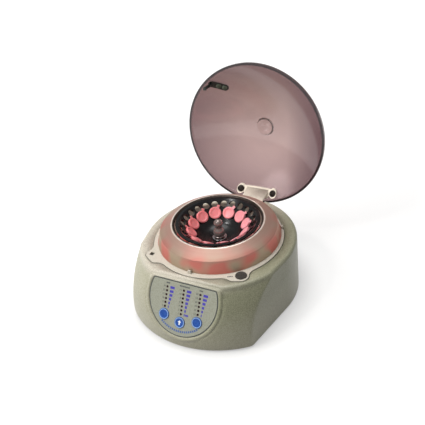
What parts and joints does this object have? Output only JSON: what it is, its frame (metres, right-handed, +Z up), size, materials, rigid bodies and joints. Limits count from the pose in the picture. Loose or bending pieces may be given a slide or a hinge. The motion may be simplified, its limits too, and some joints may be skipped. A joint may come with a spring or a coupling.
{
  "type": "centrifuge vortex mixer",
  "caption": "Small bench centrifuge and vortex mixer: round moulded housing with a sloping key panel, slanted tube rotor in a metal guard ring, smoked dome lid hinged open.",
  "frame": {"origin": "on the rotor's axis, at the level of the bench that the feet stand on", "axes": "+Z up, -Y to the front with the key panel, +X to the right of someone who faces the panel"},
  "size_m": [0.1622, 0.2443, 0.2128],
  "materials": {
    "housing": "fine speckled grey-green cream",
    "deck_insert": "smooth pale cream",
    "guard_ring": "satin, spun",
    "ring_clips": "pale plastic",
    "rotor_chamber": "drawn, satin",
    "base_plate": "dark moulded plastic",
    "base_screws": "plated",
    "rubber_feet": "matte",
    "control_panel": "pale green printed film on plastic",
    "control_board": "green laminate",
    "board_standoffs": "moulded",
    "key_switches": "black",
    "lamps": "dark lens, unlit",
    "keys": "blue, satin",
    "motor_body": "drawn can",
    "motor_plate": "sheet",
    "motor_screws": "plated",
    "motor_mounts": "matte",
    "rotor": "black, glossy",
    "sample_tubes": "pink, translucent look",
    "drive_shaft": "ground",
    "nut_washer": "polished",
    "rotor_nut": "dark chrome",
    "hinge_bracket": "folded sheet",
    "hinge_pin": "ground",
    "latch_solenoid": "plated frame",
    "latch_bolt": "plated",
    "release_button": "dark, textured top",
    "button_switch": "black",
    "switch_hanger": "folded sheet",
    "power_inlet": "black",
    "switch_frame": "black",
    "power_rocker": "black, satin",
    "lid_dome": "smoked, clear",
    "hinge_leaf": "cream paint",
    "leaf_screws": "blackened",
    "lid_hook": "black-green",
    "hook_screws": "blackened"
  },
  "bodies": {
    "base": {"housing": "housing", "deck_insert": "deck_insert", "guard_ring": "guard_ring", "ring_clips": "ring_clips", "rotor_chamber": "rotor_chamber", "base_plate": "base_plate", "base_screws": "base_screws", "rubber_feet": "rubber_feet", "control_panel": "control_panel", "control_board": "control_board", "board_standoffs": "board_standoffs", "key_switches": "key_switches", "left_lamps": "lamps", "middle_lamps": "lamps", "right_lamps": "lamps", "motor_body": "motor_body", "motor_plate": "motor_plate", "motor_screws": "motor_screws", "motor_mounts": "motor_mounts", "hinge_bracket": "hinge_bracket", "hinge_pin": "hinge_pin", "latch_solenoid": "latch_solenoid", "button_switch": "button_switch", "switch_hanger": "switch_hanger", "power_inlet": "power_inlet", "switch_frame": "switch_frame"},
    "rotor": {"rotor": "rotor", "sample_tubes": "sample_tubes", "drive_shaft": "drive_shaft", "nut_washer": "nut_washer", "rotor_nut": "rotor_nut"},
    "lid": {"lid_dome": "lid_dome", "hinge_leaf": "hinge_leaf", "leaf_screws": "leaf_screws", "lid_hook": "lid_hook", "hook_screws": "hook_screws"},
    "time_key": {"time_key": "keys"},
    "start_key": {"start_key": "keys"},
    "speed_key": {"speed_key": "keys"},
    "release_button": {"release_button": "release_button"},
    "latch_bolt": {"latch_bolt": "latch_bolt"},
    "power_rocker": {"power_rocker": "power_rocker"}
  },
  "joints": [
    {"name": "rotor_spin", "type": "hinge", "parent": "base", "child": "rotor", "pos_m": [0, 0, 0.07], "axis": [0, 0, 1], "continuous": true},
    {"name": "lid_hinge", "type": "hinge", "parent": "base", "child": "lid", "pos_m": [0, 0.0791, 0.0551], "axis": [-1, 0, 0], "range_deg": [-97, 0]},
    {"name": "time_key_press", "type": "slide", "parent": "base", "child": "time_key", "axis": [0, 0.866, -0.5], "range_m": [0, 0.0008], "stiffness_N_per_m": 400, "springref_m": -0.001},
    {"name": "start_key_press", "type": "slide", "parent": "base", "child": "start_key", "axis": [0, 0.866, -0.5], "range_m": [0, 0.0008], "stiffness_N_per_m": 400, "springref_m": -0.001},
    {"name": "speed_key_press", "type": "slide", "parent": "base", "child": "speed_key", "axis": [0, 0.866, -0.5], "range_m": [0, 0.0008], "stiffness_N_per_m": 400, "springref_m": -0.001},
    {"name": "release_button_press", "type": "slide", "parent": "base", "child": "release_button", "axis": [0, 0, -1], "range_m": [0, 0.002], "stiffness_N_per_m": 300, "springref_m": -0.001},
    {"name": "latch_bolt_slide", "type": "slide", "parent": "base", "child": "latch_bolt", "axis": [-1, 0, 0], "range_m": [0, 0.0021]},
    {"name": "power_rocker_swing", "type": "hinge", "parent": "base", "child": "power_rocker", "pos_m": [-0.015, 0.0724, 0.025], "axis": [1, 0, 0], "range_deg": [0, 14]}
  ]
}
